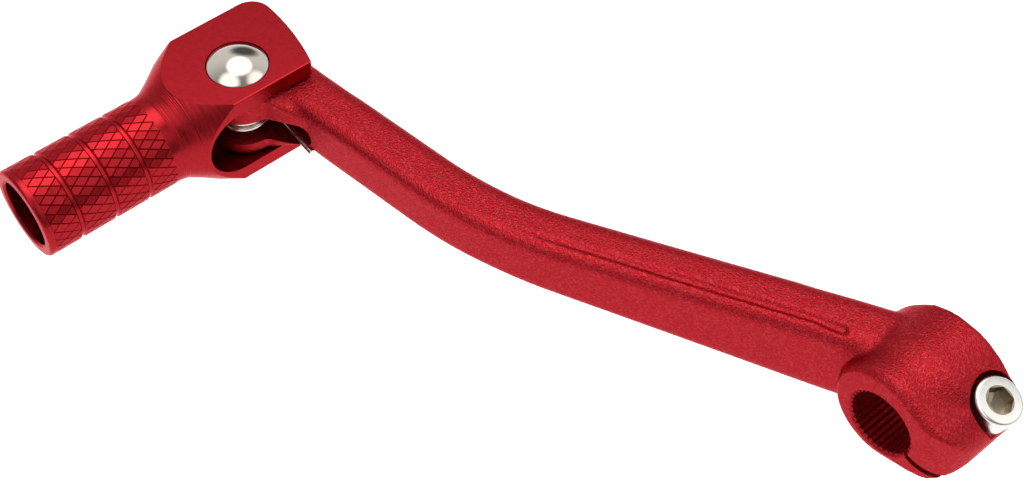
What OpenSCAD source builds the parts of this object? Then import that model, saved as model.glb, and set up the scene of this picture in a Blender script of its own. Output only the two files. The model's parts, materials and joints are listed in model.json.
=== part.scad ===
// Folding gear shift lever.
// Origin: splined bore axis, halfway through the clamp boss.
// +X points from the shaft towards the toe tip, +Y outboard, +Z up.

/* [Lever layout] */
// Distance along X from the splined bore to the tip pivot
lever_len = 144; // [110:1:180]
// Outboard distance along Y from the boss middle to the tip pivot
lever_offset = 55.5; // [42:0.5:70]
// Height of the arm and peg centre plane above the bore axis
arm_z = -1; // [-4:0.5:4]
// Distance from the pivot back to the corner of the arm bend
bend_back = 60.8; // [48:0.2:75]
// Distance inboard from the pivot to the corner of the arm bend
bend_in = 17.8; // [13:0.1:21]
// Radius of the arm bend on its centre line
bend_r = 96; // [60:1:130]

/* [Arm section] */
// Arm thickness across the bar at the tip end
arm_t_tip = 11.8; // [10:0.1:13]
// Arm thickness across the bar at the clamp boss
arm_t_boss = 13; // [11:0.1:15.4]
// Arm height at the tip end
arm_h_tip = 14.4; // [12:0.1:17.2]
// Arm height where it meets the clamp boss
arm_h_boss = 21; // [17:0.5:23]
// Chamfer along the long edges of the arm
arm_edge = 1.6; // [0.8:0.1:2.4]

/* [Clamp boss] */
// Radius of the splined bore at the tooth tips
bore_r = 7; // [5.8:0.05:8]
// Depth of the spline grooves
spline_depth = 0.45; // [0.2:0.05:0.6]
// Number of spline grooves
spline_count = 36; // [24:1:44]
// Width of the clamp boss along the bore
boss_w = 22; // [20:0.5:27]
// Outer radius of the collar round the bore
collar_r = 10.6; // [10:0.1:12]
// Distance that the collar stands outboard of the bolt lug
collar_out = 9.5; // [7:0.1:10]
// Radius of the bolt lug
lug_r = 15.2; // [14.4:0.1:18]
// Width of the saw slot
slot_w = 1.3; // [1:0.1:2]
// Tilt of the pinch bolt away from vertical
bolt_tilt = 18; // [10:1:24]

/* [Pinch bolt] */
// Radius of the bolt thread
bolt_r = 3; // [2.5:0.25:3.25]
// Radius of the bolt head
bolt_head_r = 5; // [4.2:0.1:5.5]
// Height of the bolt head
bolt_head_h = 6; // [4:0.5:7]
// Width across the flats of the hexagon socket
bolt_key = 5; // [4:0.5:5.5]

/* [Toe tip] */
// Distance from the pivot to the open end of the peg
peg_reach = 52.5; // [44:0.5:63]
// Outer radius of the knurled peg
peg_r = 10; // [8.5:0.1:11.4]
// Radius of the hole in the peg
peg_hole_r = 7.4; // [6:0.1:8]
// Depth of the hole in the peg
peg_hole_depth = 30; // [20:1:32]
// Distance of the peg axis forward of the pivot
peg_shift = 2.8; // [2:0.1:3.4]
// Width of the clevis body along X
clevis_w = 24; // [22:0.5:26]
// Height of the clevis body
clevis_h = 23.8; // [23:0.2:27]
// Distance that the clevis ears reach inboard of the pivot
ear_reach = 15.4; // [14:0.1:17]
// Number of grooves round the knurled peg
groove_count = 3; // [1:1:5]

/* [Pivot] */
// Radius of the pivot pin shank
pin_r = 4; // [3.4:0.1:4.5]
// Radius of the domed pin head
pin_head_r = 6.65; // [6.2:0.05:7.2]
// Height of the domed pin head
pin_head_h = 2.6; // [1.8:0.1:3.2]
// Radius of the arm eye round the pin
eye_r = 8.2; // [7.8:0.1:8.6]
// Gap between the arm eye and each clevis ear
eye_gap = 0.6; // [0.3:0.05:1]

/* [Return spring] */
// Wire diameter of the return spring
wire_d = 1.4; // [1:0.1:1.6]
// Number of whole turns in the return spring's coil
spring_coils = 2; // [1:1:3]

/* [Hidden] */

$fn = 64;
red = [0.72, 0.03, 0.07];
steel = [0.78, 0.77, 0.74];
run_fit = 0.05;                      // radial clearance of a running fit
loose_fit = 0.15;                    // radial clearance of a part that is only laid in place
small = 0.01;                        // overlap that welds two solids of one piece
big = 200;                           // longer than anything that a cutter has to reach

pivot = [lever_len, lever_offset, 0];

// Arm plan: two straight runs joined by an arc.
root = [0, -collar_out / 2 - 1.6];   // where the arm's centre line meets the bore plane
bend = [lever_len - bend_back, lever_offset - bend_in];
end_in = 9.3;                        // arm's end on its centre line, inboard of the pivot
end_back = 2.5;                      // and short of it
arm_end = [lever_len - end_back, lever_offset - end_in];
ang_root = atan2(bend[1] - root[1], bend[0] - root[0]);
ang_tip = atan2(arm_end[1] - bend[1], arm_end[0] - bend[0]);
bend_turn = ang_root - ang_tip;
bend_tan = bend_r * tan(bend_turn / 2);
along_root = [cos(ang_root), sin(ang_root)];
bend_centre = bend - along_root * bend_tan + [sin(ang_root), -cos(ang_root)] * bend_r;

// The forging is two nodes that meet on this plane, clear of the bolt lug and the collar.
lug_out = boss_w / 2 - collar_out;   // outboard face of the bolt lug
boss_run = 0.5 + max([lug_r, lug_out] * along_root, [collar_r, boss_w / 2] * along_root)
           - root * along_root;

// Clevis and eye levels, measured from the bore axis.
clevis_top = arm_z + clevis_h / 2;
clevis_bottom = arm_z - clevis_h / 2;
eye_h = arm_h_tip + 0.8;
slot_h = eye_h + 2 * eye_gap;
slot_r = slot_h / 2;
slot_floor = 14.5;                   // pivot to the deepest point of the clevis slot
slot_y = slot_floor - slot_r;

// Spring, wound round the pin in a pocket of the eye.
wire_r = wire_d / 2;
coil_in_gap = 0.9;                   // pin to the inside of the coil
coil_out_gap = 0.4;                  // coil to the wall of its pocket
coil_end_gap = 0.375;                // coil to the pocket's floor and roof
coil_pitch = wire_d + 0.4;
coil_r = pin_r + coil_in_gap + wire_r;
spring_turns = spring_coils + 0.375;
lug_low_t = 3;                       // thickness of the eye below the pocket
pocket_h = coil_pitch * spring_turns + wire_d + 2 * coil_end_gap;
pocket_low = arm_z - eye_h / 2 + lug_low_t;
pocket_end = 14;                     // pivot to the centre of the pocket's round end
pocket_in = coil_r + wire_r + 0.5;   // depth of the pocket inboard of the pivot
coil_low = pocket_low + wire_r + coil_end_gap;
coil_high = coil_low + coil_pitch * spring_turns;
leg_hole_r = wire_r + 0.25;

// Spring legs: one lies in a groove at the pocket's end, the other enters the slot's floor.
leg_root = [-4, -coil_r, coil_low - 0.1];
leg_end = [-17.3, end_in - 14.6, pocket_low - 0.5];
leg_depth = 0.6;                     // length of the other leg inside the tip
coil_start = 270;                    // the coil winds up anticlockwise from here
coil_end = coil_start + 360 * spring_turns;
exit = [coil_r * cos(coil_end), coil_r * sin(coil_end), coil_high];
exit_dir = [-sin(coil_end), cos(coil_end), 0];
floor_y = slot_y + sqrt(pow(slot_r, 2) - pow(coil_high - arm_z, 2));
tip_leg_end = exit + exit_dir * (floor_y + leg_depth - exit[1]) / exit_dir[1];

// Pin, with its washer and clip below the lower ear.
spot_depth = 0.6;                    // seat of the head in the upper ear
spot_rim = 0.8;                      // ring of that seat round the head
pin_seat = clevis_top - spot_depth;
head_edge = 0.5;                     // height of the head's rim
washer_t = 0.8;
washer_wall = 2.6;
clip_t = 0.8;
clip_slack = 0.05;                   // play above and below the clip
washer_top = clevis_bottom;
clip_top = washer_top - washer_t - clip_slack;
pin_tail = 1.2;                      // pin below the clip
pin_bottom = clip_top - clip_t - pin_tail;
clip_groove_r = pin_r - 0.9;
clip_r = pin_r + 2;

// Bolt: square to the slot, in the middle of the collar's step.
bolt_hole_r = bolt_r + 0.3;
bolt_off = bore_r + bolt_r + 0.1;    // bolt axis to bore axis
bolt_y = -collar_out / 2;
seat_h = 6.6;                        // bolt seat above the slot plane
seat_ring = 0.9;                     // counterbore round the bolt head
lug_drop = 2;                        // bolt lug's centre below the bore
lug_low = collar_r + 0.4;            // flat underside of the lug below the bore
bolt_len = seat_h + lug_r - lug_drop - 3.8;

// Boss nose, rounded in plan and seen along the bore.
nose_x = lug_r + 1.2;
nose_r = 9;
jaw_r = 8;
jaw_z = 0.8;

module along_y() { rotate([90, 0, 0]) children(); }

// Straight round rod from point a to point b.
module rod(a, b, r) {
    v = b - a;
    translate(a) rotate([0, acos(v[2] / norm(v)), atan2(v[1], v[0])])
        cylinder(r = r, h = norm(v));
}

// Closed shell through a list of rings that all have the same number of points.
module swept(rings) {
    n = len(rings);
    m = len(rings[0]);
    points = [for (r = rings) each r];
    sides = [for (i = [0:n - 2], j = [0:m - 1])
        let(a = i * m + j, b = i * m + (j + 1) % m) each [[a, b + m, b], [a, a + m, b + m]]];
    caps = [[for (j = [0:m - 1]) j], [for (j = [m - 1:-1:0]) (n - 1) * m + j]];
    polyhedron(points = points, faces = concat(sides, caps), convexity = 8);
}

// Two discs and the straight sides that touch both, drawn along +Z.
module link(c0, r0, c1, r1, h) {
    span = norm(c1 - c0);
    a = atan2(c1[1] - c0[1], c1[0] - c0[0]);
    b = acos((r0 - r1) / span);
    translate(c0) cylinder(r = r0, h = h);
    translate(c1) cylinder(r = r1, h = h);
    linear_extrude(h) polygon([
        c0 + r0 * [cos(a + b), sin(a + b)], c1 + r1 * [cos(a + b), sin(a + b)],
        c1 + r1 * [cos(a - b), sin(a - b)], c0 + r0 * [cos(a - b), sin(a - b)], c0]);
}

// ---- lever arm ----

// Rectangle cross-section with chamfered corners.
function bar_section(w, h) = let(t = w / 2, e = arm_edge, k = h / 2)
    [[-t + e, -k], [t - e, -k], [t, -k + e], [t, k - e], [t - e, k], [-t + e, k], [-t, k - e],
     [-t, -k + e]];

// Share of the way from the clamp boss (1) to the slim end of the arm (0) at distance x.
taper_start = lug_r - 1;
taper_end = bend[0] - 4;
taper_power = 1.15;
function taper(x) = min(1, max(0, (taper_end - x) / (taper_end - taper_start)));
function arm_height(x) = arm_h_tip + (arm_h_boss - arm_h_tip) * pow(taper(x), taper_power);
function arm_width(x) = arm_t_tip + (arm_t_boss - arm_t_tip) * taper(x);

// Stations of the centre line: place and heading.
arc_steps = 8;
run_steps = 5;
stub_run = 5;                        // centre line inside the boss starts here
function on_run(d) = let(p = root + along_root * d) [p[0], p[1], ang_root];
function on_arc(a) = [bend_centre[0] - bend_r * sin(a), bend_centre[1] + bend_r * cos(a), a];
arc_run = norm(bend - root) - bend_tan;
arm_stations = concat(
    [for (i = [0:run_steps - 1]) on_run(boss_run + (arc_run - boss_run) * i / run_steps)],
    [for (i = [0:arc_steps]) on_arc(ang_root - bend_turn * i / arc_steps)],
    [[arm_end[0], arm_end[1], ang_tip]]);
boss_stations = [for (d = [stub_run, (stub_run + boss_run) / 2, boss_run]) on_run(d)];

function ring_at(s) = [for (p = bar_section(arm_width(s[0]), arm_height(s[0])))
    [s[0] - p[0] * sin(s[2]), s[1] + p[0] * cos(s[2]), arm_z + p[1]]];
module bar(stations) {
    swept([for (s = stations) ring_at(s)]);
}

module arm_eye() {
    translate([0, 0, arm_z - eye_h / 2])
        link([pivot[0], pivot[1]], eye_r, arm_end, arm_t_tip / 2, eye_h);
    stop_heel();
}

// Heel that rests in the rounded floor of the clevis slot and stops the tip at rest.
module stop_heel() {
    heel_r = slot_r - eye_gap - loose_fit;
    heel_w = eye_r - 2.2;
    x0 = pivot[0] + 1;
    intersection() {
        union() {
            translate([x0, pivot[1] + slot_y + eye_gap, arm_z]) rotate([0, 90, 0])
                cylinder(r = heel_r, h = heel_w);
            translate([x0, pivot[1], arm_z - heel_r])
                cube([heel_w, slot_y + eye_gap, 2 * heel_r]);
        }
        translate([x0 - 1, pivot[1], arm_z - eye_h / 2]) cube([heel_w + 2, big, eye_h]);
    }
}

// Pocket that holds the spring, open on the outboard side and round-ended along the arm.
module spring_pocket() {
    translate([pivot[0], pivot[1], pocket_low]) {
        cylinder(r = coil_r + wire_r + coil_out_gap, h = pocket_h);
        translate([-eye_r - 1, 0, 0]) cube([eye_r + exit[0] + 2, eye_r + 1, pocket_h]);
        translate([-pocket_end, -pocket_in, 0]) cube([pocket_end, pocket_in + 1, pocket_h]);
        translate([-pocket_end, 1, pocket_h / 2]) along_y()
            cylinder(r = pocket_h / 2, h = pocket_in + 1);
    }
}

// Groove that the spring's leg lies in, run on past the leg's end.
module leg_groove() {
    past = leg_end + (leg_end - leg_root) / 4;
    translate([pivot[0], pivot[1], 0]) rod(leg_root, past, wire_r + loose_fit);
}

module lever_arm() {
    color(red) difference() {
        union() {
            bar(arm_stations);
            arm_eye();
        }
        spring_pocket();
        leg_groove();
        translate([pivot[0], pivot[1], -big / 2]) cylinder(r = pin_r + run_fit, h = big);
    }
}

// ---- clamp boss ----

module side_disc(r, z, y0, y1) {
    translate([0, y1, z]) along_y() cylinder(r = r, h = y1 - y0);
}

module boss_body() {
    y_out = boss_w / 2;
    y_in = -boss_w / 2;
    difference() {
        union() {
            translate([0, y_out, 0]) along_y()
                link([0, 0], collar_r, [-nose_x + jaw_r, jaw_z], jaw_r, boss_w);
            intersection() {
                side_disc(lug_r, -lug_drop, y_in, lug_out);
                translate([-big / 2, y_in, -lug_low]) cube([big, boss_w, big]);
            }
        }
        // Nose rounded in plan.
        arc = [for (a = [90:7.5:180]) nose_r * [cos(a), sin(a)]];
        translate([nose_r - nose_x, y_out - nose_r, -big / 2]) linear_extrude(big)
            polygon(concat([[-big, 0], [-big, big], [0, big]], arc));
    }
}

// Children drawn in bolt axes: +Z along the bolt towards the head, origin on the slot plane.
module bolt_frame() {
    rotate([0, -bolt_tilt, 0]) translate([-bolt_off, bolt_y, 0]) children();
}

module boss_cuts() {
    // Splined bore.
    side_disc(bore_r, 0, -boss_w / 2 - 1, boss_w / 2 + 1);
    star_root = bore_r - 0.25;       // inside the bore, so that lands are left between grooves
    star = [for (i = [0:2 * spline_count - 1])
        let(a = 180 * i / spline_count, r = i % 2 == 0 ? bore_r + spline_depth : star_root)
        [r * cos(a), r * sin(a)]];
    translate([0, boss_w / 2 + 1, 0]) along_y() linear_extrude(boss_w + 2) polygon(star);
    // Saw slot, square to the bolt.
    rotate([0, -bolt_tilt, 0]) translate([-big / 2, -boss_w / 2 - 1, -slot_w / 2])
        cube([big / 2, boss_w + 2, slot_w]);
    bolt_frame() {
        cylinder(r = bolt_hole_r, h = seat_h + 1);
        translate([0, 0, seat_h]) cylinder(r = bolt_head_r + seat_ring, h = big);
        translate([0, 0, -big]) cylinder(r = bolt_r + run_fit, h = big + 1);
    }
}

module clamp_boss() {
    color(red) difference() {
        union() {
            bar(boss_stations);
            boss_body();
        }
        boss_cuts();
    }
}

// ---- toe tip ----

// Outline of the turned tip: distance from its axis against distance from the pivot.
peg_start = slot_floor + 5.5;        // shoulder of the knurled peg
rim = 1.5;                           // rounded rim at the peg's open end
mouth_share = 0.8;                   // land at the mouth, as a share of the groove step
groove_step = (peg_reach - rim - peg_start) / (groove_count + mouth_share);
groove_d = 0.7;
function groove(y) = [[peg_r, y + groove_d], [peg_r - groove_d, y], [peg_r, y - groove_d]];
bar_r = norm([clevis_w, clevis_h]) / 2 + 0.2;
blank_end = -ear_reach - 4;          // beyond the ears' inboard end
turned = concat(
    [[0, peg_reach], [peg_r - rim, peg_reach], [peg_r - rim / 4, peg_reach - rim / 3],
     [peg_r, peg_reach - rim]],
    [for (i = [groove_count:-1:1]) each groove(peg_start + groove_step * i)],
    [[peg_r, peg_start], [peg_r + 0.3, peg_start - 1.6], [peg_r + 1.9, slot_floor + 1],
     [peg_r + 4.2, slot_floor - 2.5], [bar_r, slot_floor - 8], [bar_r, blank_end],
     [0, blank_end]]);

module tip_body() {
    ear_arc = 60;                    // radius of the inboard end of the ears
    intersection() {
        translate([peg_shift, 0, arm_z]) rotate([-90, 0, 0]) rotate_extrude() polygon(turned);
        translate([peg_shift - clevis_w / 2, -big / 2, clevis_bottom])
            cube([clevis_w, big, clevis_h]);
        translate([peg_shift + clevis_w / 4, ear_arc - ear_reach, -big / 2])
            cylinder(r = ear_arc, h = big, $fn = 128);
    }
}

module toe_tip() {
    drill_point = 3;
    color(red) translate(pivot) difference() {
        tip_body();
        // Hole down the peg with a drill point.
        translate([peg_shift, peg_reach + 1, arm_z]) along_y() {
            cylinder(r = peg_hole_r, h = peg_hole_depth + 1);
            translate([0, 0, peg_hole_depth + 1 - small])
                cylinder(r1 = peg_hole_r, r2 = 0, h = drill_point);
        }
        // Slot for the arm eye, with a full round floor.
        translate([-big / 2, slot_y, arm_z]) rotate([0, 90, 0]) cylinder(r = slot_r, h = big);
        translate([-big / 2, slot_y - big, arm_z - slot_r]) cube([big, big, slot_h]);
        // Pin bore and the shallow seat round its head.
        translate([0, 0, -big / 2]) cylinder(r = pin_r + run_fit, h = big);
        translate([0, 0, pin_seat]) cylinder(r = pin_head_r + spot_rim, h = big);
        // Hole for the spring leg.
        rod(tip_leg_end - exit_dir * 4, tip_leg_end + exit_dir, leg_hole_r);
    }
}

// ---- pivot ----

module pivot_pin() {
    dome_r = (pin_head_r * pin_head_r + pin_head_h * pin_head_h) / (2 * pin_head_h);
    color(steel) translate([pivot[0], pivot[1], 0]) {
        intersection() {
            translate([0, 0, pin_seat]) cylinder(r = pin_head_r, h = pin_head_h + 1);
            translate([0, 0, pin_seat + head_edge + pin_head_h - dome_r]) sphere(r = dome_r);
        }
        difference() {
            translate([0, 0, pin_bottom]) cylinder(r = pin_r, h = pin_seat - pin_bottom + small);
            translate([0, 0, clip_top - clip_t - clip_slack]) difference() {
                cylinder(r = pin_r + 1, h = clip_t + 2 * clip_slack);
                translate([0, 0, -1]) cylinder(r = clip_groove_r, h = clip_t + 3);
            }
        }
    }
}

module pin_washer() {
    color(steel) translate([pivot[0], pivot[1], washer_top - washer_t]) difference() {
        cylinder(r = pin_r + washer_wall, h = washer_t);
        translate([0, 0, -1]) cylinder(r = pin_r + loose_fit, h = washer_t + 2);
    }
}

module retaining_clip() {
    mouth = 1.6 * clip_groove_r;
    relief_r = 0.9;
    color(steel) translate([pivot[0], pivot[1], clip_top - clip_t]) difference() {
        cylinder(r = clip_r, h = clip_t);
        translate([0, 0, -1]) cylinder(r = clip_groove_r + run_fit, h = clip_t + 2);
        translate([0, -mouth / 2, -1]) cube([big, mouth, clip_t + 2]);
        // Two reliefs leave three prongs.
        for (a = [110, 250]) rotate([0, 0, a])
            translate([clip_groove_r + 0.6, 0, -1]) cylinder(r = relief_r, h = clip_t + 2);
    }
}

// ---- return spring ----

// Round wire swept through a list of points with constant-size rings.
wire_sides = 10;
function unit(v) = v / norm(v);
function wire_ring(p, t) = let(n = unit(cross(t, [0.1, 0.15, 1])), b = cross(t, n))
    [for (k = [0:wire_sides - 1]) let(a = 360 * k / wire_sides)
        p + wire_r * (cos(a) * n + sin(a) * b)];
module wire(path) {
    n = len(path);
    swept([for (i = [0:n - 1])
        wire_ring(path[i], unit(path[min(n - 1, i + 1)] - path[max(0, i - 1)]))]);
}

coil_steps = 24;
coil_points = [for (i = [0:coil_steps * spring_turns])
    let(u = i / coil_steps, a = coil_start + 360 * u)
    [coil_r * cos(a), coil_r * sin(a), coil_low + coil_pitch * u]];
spring_path = concat([leg_end, leg_root], coil_points, [exit + exit_dir, tip_leg_end]);

module return_spring() {
    color(steel) translate([pivot[0], pivot[1], 0]) wire(spring_path);
}

// ---- pinch bolt ----

module pinch_bolt() {
    edge = 0.6;                      // chamfer of the head and the thread's end
    key_depth = bolt_head_h / 2;
    color(steel) bolt_frame() translate([0, 0, seat_h]) difference() {
        union() {
            cylinder(r = bolt_head_r, h = bolt_head_h - edge);
            translate([0, 0, bolt_head_h - edge])
                cylinder(r1 = bolt_head_r, r2 = bolt_head_r - edge, h = edge);
            translate([0, 0, -bolt_len]) cylinder(r = bolt_r, h = bolt_len + small);
            translate([0, 0, -bolt_len - edge])
                cylinder(r1 = bolt_r - edge, r2 = bolt_r, h = edge);
        }
        translate([0, 0, bolt_head_h - key_depth])
            cylinder(r = bolt_key / 2 / cos(30), h = key_depth + 1, $fn = 6);
    }
}

lever_arm();
clamp_boss();
toe_tip();
pivot_pin();
return_spring();
pinch_bolt();
pin_washer();
retaining_clip();
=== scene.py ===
"""Folding gear shift lever, modelled by an add-on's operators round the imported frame.

Lengths are metres. +X runs from the splined bore to the toe tip, +Y outboard, +Z up.
"""
import json
import math

import bmesh
import bpy
from bpy.props import (
    FloatProperty,
    FloatVectorProperty,
    IntProperty,
    PointerProperty,
)
from mathutils import Matrix, Quaternion, Vector


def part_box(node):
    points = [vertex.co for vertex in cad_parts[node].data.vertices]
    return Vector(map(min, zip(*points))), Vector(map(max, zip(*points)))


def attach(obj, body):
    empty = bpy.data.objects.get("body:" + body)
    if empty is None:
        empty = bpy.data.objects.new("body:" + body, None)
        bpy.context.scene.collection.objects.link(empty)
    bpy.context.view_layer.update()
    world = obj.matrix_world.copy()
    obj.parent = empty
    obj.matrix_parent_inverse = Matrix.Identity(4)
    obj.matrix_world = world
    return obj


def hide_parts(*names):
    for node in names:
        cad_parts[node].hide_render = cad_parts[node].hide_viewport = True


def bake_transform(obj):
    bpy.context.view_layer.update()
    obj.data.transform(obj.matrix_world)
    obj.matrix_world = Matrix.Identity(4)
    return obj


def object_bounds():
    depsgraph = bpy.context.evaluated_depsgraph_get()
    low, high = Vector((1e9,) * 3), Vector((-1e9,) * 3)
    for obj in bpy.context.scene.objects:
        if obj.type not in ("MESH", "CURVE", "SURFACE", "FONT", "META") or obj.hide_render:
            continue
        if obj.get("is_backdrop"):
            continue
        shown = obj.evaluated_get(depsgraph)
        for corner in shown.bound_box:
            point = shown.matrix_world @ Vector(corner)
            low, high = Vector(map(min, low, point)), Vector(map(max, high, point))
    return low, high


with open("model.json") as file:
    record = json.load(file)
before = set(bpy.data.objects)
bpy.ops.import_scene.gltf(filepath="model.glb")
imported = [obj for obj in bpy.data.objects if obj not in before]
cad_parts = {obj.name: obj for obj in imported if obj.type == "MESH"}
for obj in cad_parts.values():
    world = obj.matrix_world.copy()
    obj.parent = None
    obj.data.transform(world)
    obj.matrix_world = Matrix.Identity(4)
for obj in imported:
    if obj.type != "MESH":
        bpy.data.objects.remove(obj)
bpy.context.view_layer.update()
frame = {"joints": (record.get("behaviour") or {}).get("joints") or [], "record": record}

bl_info = {
    "name": "Folding Shift Lever",
    "version": (1, 0, 0),
    "blender": (4, 5, 0),
    "location": "3D View > Sidebar > Shift Lever",
    "description": "Models a motorcycle shift lever with a folding toe tip round its packed frame",
    "category": "Add Mesh",
}

MM = 0.001
PIVOT = Vector(frame["joints"][0]["pos_m"])
BORE = frame["record"]["mounts"][0]["dims"]
UP = Vector((0, 0, 1))
OUTBOARD = Vector((0, 1, 0))

# Tint that anodised red keeps where it is seen edge on, and the painted shade inside the bolt's
# socket.
EDGE_RED = (1.0, 0.55, 0.57, 1.0)
SOCKET_SHADE = (0.30, 0.25, 0.19, 1.0)

# Stretches of the forging whose creases are eased: from X, to X, and the outboard limit.
BOSS_ROOT = (8 * MM, 30 * MM, 9 * MM)
EYE_ROOT = (PIVOT.x - 20 * MM, PIVOT.x - 6 * MM, PIVOT.y - 2 * MM)

# Ways from the lever towards the lamps, the far wall and the dark gap above it.
WING_WAY = (-0.12, 0.60, 0.79)
KICK_WAY = (-0.63, -0.42, 0.65)
FAR_WAY = (0.731, -0.682, 0.0)
GAP_WAY = (0.667, -0.623, 0.407)


def length(name, description, default_mm, **extra):
    """Length property whose default is given in millimetres."""
    return FloatProperty(name=name, description=description, default=default_mm * MM,
                         min=0.0, unit="LENGTH", precision=5, **extra)


def angle(name, description, degrees):
    """Angle property whose default is given in degrees."""
    return FloatProperty(name=name, description=description, default=math.radians(degrees),
                         subtype="ANGLE")


def tint(name, description, default):
    """Colour property in linear RGB."""
    return FloatVectorProperty(name=name, description=description, default=default,
                               subtype="COLOR", min=0.0, max=1.0)


# ---- sizes and colours -------------------------------------------------------------------

class ForgingSizes(bpy.types.PropertyGroup):
    """Sizes of the forged arm and its clamp boss"""

    bend_back: length("Bend Back", "Pivot back to the corner of the bend, along X", 60.8)
    bend_in: length("Bend Inboard", "Pivot inboard to the corner of the bend", 17.8)
    bend_radius: length("Bend Radius", "Radius of the bend on the centre line", 96)
    root_in: length("Root Inboard", "Bore centre inboard to the centre line's start", 6.35)
    end_in: length("End Inboard", "Pivot inboard to the centre line's end", 9.3)
    end_back: length("End Back", "Pivot back to the centre line's end", 2.5)
    width_tip: length("Width at the Eye", "Bar width at its slim end", 11.8)
    width_boss: length("Width at the Boss", "Bar width where it meets the boss", 13)
    height_tip: length("Height at the Eye", "Bar height at its slim end", 14.4)
    height_boss: length("Height at the Boss", "Bar height where it meets the boss", 21)
    eye_radius: length("Eye Radius", "Radius of the eye round the pin", 8.2)
    round_crest: length("Crest Rounding", "Rounding of the outboard top edge", 3.3)
    round_shoulder: length("Shoulder Rounding", "Rounding of the inboard top edge", 4.2)
    round_belly: length("Belly Rounding", "Rounding of the two bottom edges", 5.4)
    groove_radius: length("Groove Radius", "Radius of the groove behind the crest", 1.1)
    groove_depth: length("Groove Depth", "Depth of the groove where it is deepest", 0.75)
    groove_in: length("Groove Inset", "Outboard edge of the bar to the groove", 3.5)
    groove_start: length("Groove Start", "Bore to the groove's outboard end, along X", 12)
    groove_turn: length("Groove Turn", "Length over which the groove turns outboard", 8)
    groove_stop: length("Groove Stop", "Bore to where the groove fades out", 80)
    collar_radius: length("Collar Radius", "Radius of the collar round the bore", 11.2)
    collar_lift: length("Collar Lift", "Collar centre above the bore", 1.2)
    collar_rim: length("Collar Rim", "Rounding of the collar's outboard rim", 1.5)
    collar_step: length("Collar Step", "Collar face outboard of the bolt lug", 9.5)
    lug_radius: length("Lug Radius", "Radius of the bolt lug", 15.2)
    lug_drop: length("Lug Drop", "Lug centre below the bore", 2)
    lug_low: length("Lug Bottom", "Bore centre down to the flat under the lug", 10.3)
    nose_radius: length("Nose Radius", "Plan rounding of the nose", 9)
    jaw_radius: length("Jaw Radius", "Rounding of the nose seen along the bore", 8)
    slot: length("Saw Slot", "Width of the saw slot", 1.3)
    teeth: IntProperty(name="Spline Teeth", description="Grooves round the bore", default=36,
                       min=12)
    tooth_depth: length("Tooth Depth", "Depth of the spline grooves", 0.45)
    boss_ease: IntProperty(name="Boss Easing", description="Smoothing passes at the boss",
                           default=70, min=0)
    eye_ease: IntProperty(name="Eye Easing", description="Smoothing passes at the eye",
                          default=40, min=0)
    voxel: length("Forging Voxel", "Cell size that melts the forging into one skin", 0.4)


class TipSizes(bpy.types.PropertyGroup):
    """Sizes of the folding toe tip"""

    peg_radius: length("Peg Radius", "Outer radius of the knurled peg", 10)
    hole_radius: length("Hole Radius", "Radius of the hole in the peg", 7.4)
    hole_depth: length("Hole Depth", "Depth of the hole in the peg", 30)
    knurl_start: length("Knurl Start", "Pivot to the start of the knurl", 20)
    rim: length("Rim", "Plain rim at the open end of the peg", 1.6)
    band: length("Band", "Plain band between the cone and the knurl", 1.7)
    knurl_depth: length("Knurl Depth", "Depth of the diamond knurl", 0.2)
    knurl_groove: length("Knurl Groove", "Half width of one knurl groove", 0.15)
    knurl_count: IntProperty(name="Knurl Count", description="Diamonds round the peg",
                             default=28, min=8)
    knurl_angle: angle("Knurl Angle", "Angle between knurl grooves and the peg's axis", 30)
    groove_count: IntProperty(name="Grooves", description="Turned grooves round the peg",
                              default=3, min=0)
    groove_depth: length("Groove Depth", "Depth of the turned grooves", 0.75)
    slot_height: length("Slot Height", "Height of the slot between the ears", 16.4)
    slot_floor: length("Slot Floor", "Pivot to the deepest point of the slot", 14.5)
    ear_arc: length("Ear Arc", "Radius of the ears' inboard end", 60)
    ear_corner: length("Ear Corner", "Rounding of the ears' far corner", 4.9)
    chamfer: length("Chamfer", "Chamfer along the milled edges", 0.35)


class SmallPartSizes(bpy.types.PropertyGroup):
    """Sizes of the pin, spring, bolt, washer and clip"""

    pin_radius: length("Pin Radius", "Radius of the pivot pin's shank", 4)
    pin_play: length("Pin Play", "Radial clearance round the shank", 0.05)
    head_rim: length("Head Rim", "Height of the head's rim", 0.5)
    head_seat: length("Head Seat", "Depth of the head's seat in the ear", 0.6)
    seat_ring: length("Seat Ring", "Width of the seat round the head", 0.06)
    wire: length("Wire", "Diameter of the spring wire", 1.4)
    coil_gap: length("Coil Gap", "Pin to the inside of the coil", 0.9)
    coils: IntProperty(name="Coils", description="Whole turns of the spring", default=2, min=1)
    pocket_floor: length("Pocket Floor", "Thickness of the eye below the spring", 3)
    bolt_tilt: angle("Bolt Tilt", "Tilt of the pinch bolt away from vertical", 18)
    bolt_radius: length("Bolt Radius", "Radius of the thread", 3)
    head_radius: length("Bolt Head Radius", "Radius of the bolt head", 5)
    head_height: length("Bolt Head Height", "Height of the bolt head", 6)
    key: length("Hexagon", "Width across the flats of the socket", 5)
    bolt_seat: length("Bolt Seat", "Bolt seat above the saw slot", 6.6)
    bolt_length: length("Bolt Length", "Seat to the end of the thread", 16)


class Finishes(bpy.types.PropertyGroup):
    """Colours of the finishes"""

    forging: tint("Blasted Red", "Anodised colour of the forging", (0.37, 0.012, 0.018))
    milled: tint("Turned Red", "Anodised colour of the tip", (0.36, 0.012, 0.018))
    polish: tint("Polished Steel", "Colour of the pin", (0.70, 0.64, 0.57))
    wire: tint("Spring Steel", "Colour of the spring", (0.74, 0.70, 0.64))
    zinc: tint("Zinc", "Colour of the bolt and washer", (0.74, 0.72, 0.68))
    floor: tint("Floor", "Colour of the floor", (0.97, 0.97, 0.97))


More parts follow.
